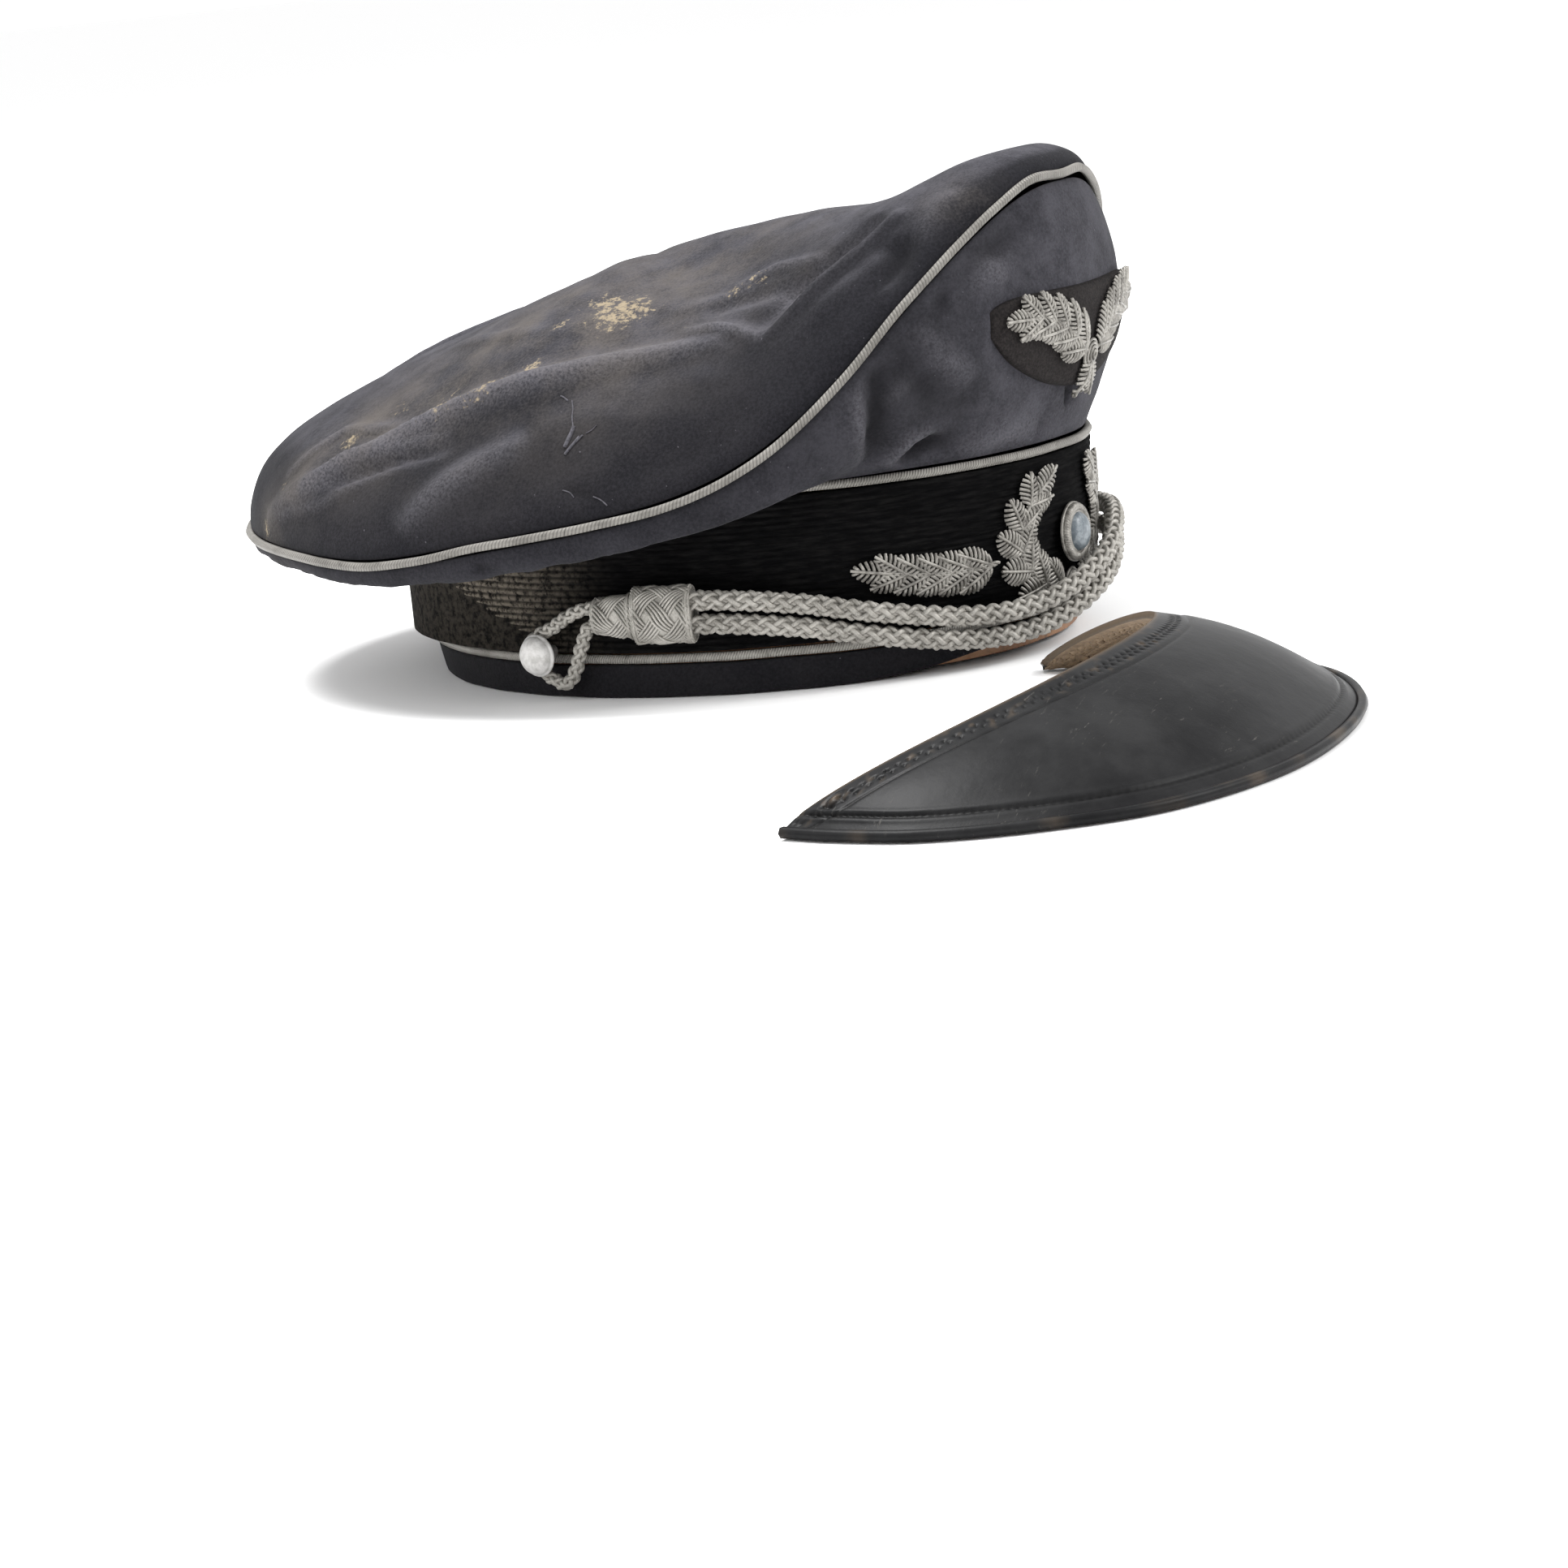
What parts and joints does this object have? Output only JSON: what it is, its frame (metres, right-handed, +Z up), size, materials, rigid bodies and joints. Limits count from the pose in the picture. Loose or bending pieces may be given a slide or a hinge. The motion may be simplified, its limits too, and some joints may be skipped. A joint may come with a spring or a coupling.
{
  "type": "peaked cap",
  "caption": "Peaked cap with a soft raised-front crown, piped ribbed band, corded chin strap, leaf badges and its crescent peak lying loose in front.",
  "frame": {"origin": "middle of the cap and its peak on the surface they rest on", "axes": "+Z up out of the head opening's plane, -Y towards the front of the cap, -X towards the wearer's right"},
  "size_m": [0.3766, 0.4048, 0.1451],
  "materials": {
    "wool": "napped blue-grey wool, worn and stained on top",
    "piping": "woven metallic thread piping, dull silver",
    "ribbed_band": "near-black ribbed mohair braid",
    "sweatband_leather": "worn tan leather",
    "silver_cord": "twisted metallic cord, dull silver with dark grooves",
    "silver_wire": "hand embroidery in dull silver wire",
    "patch_cloth": "dark brown-grey backing cloth",
    "button_metal": "satin pebbled white metal",
    "boss_enamel": "plain grey-blue painted dome",
    "peak_lacquer": "black lacquered board, scuffed satin gloss"
  },
  "bodies": {
    "root": {"crown_top": "wool", "crown_side": "wool", "crown_piping": "piping", "band_top_piping": "piping", "cap_band": "ribbed_band", "band_foot_piping": "piping", "hem": "wool", "sweatband": "sweatband_leather", "chin_cord_upper": "silver_cord", "chin_cord_lower": "silver_cord", "big_slide_right": "silver_cord", "small_slide_right": "silver_cord", "button_loop_right": "silver_cord", "button_right": "button_metal", "frond_right": "silver_wire", "big_slide_left": "silver_cord", "small_slide_left": "silver_cord", "button_loop_left": "silver_cord", "button_left": "button_metal", "frond_left": "silver_wire", "band_wreath": "silver_wire", "crown_patch": "patch_cloth", "crown_spray": "silver_wire", "boss_rim": "silver_wire", "boss": "boss_enamel", "peak": "peak_lacquer", "peak_rim": "peak_lacquer"}
  },
  "joints": []
}
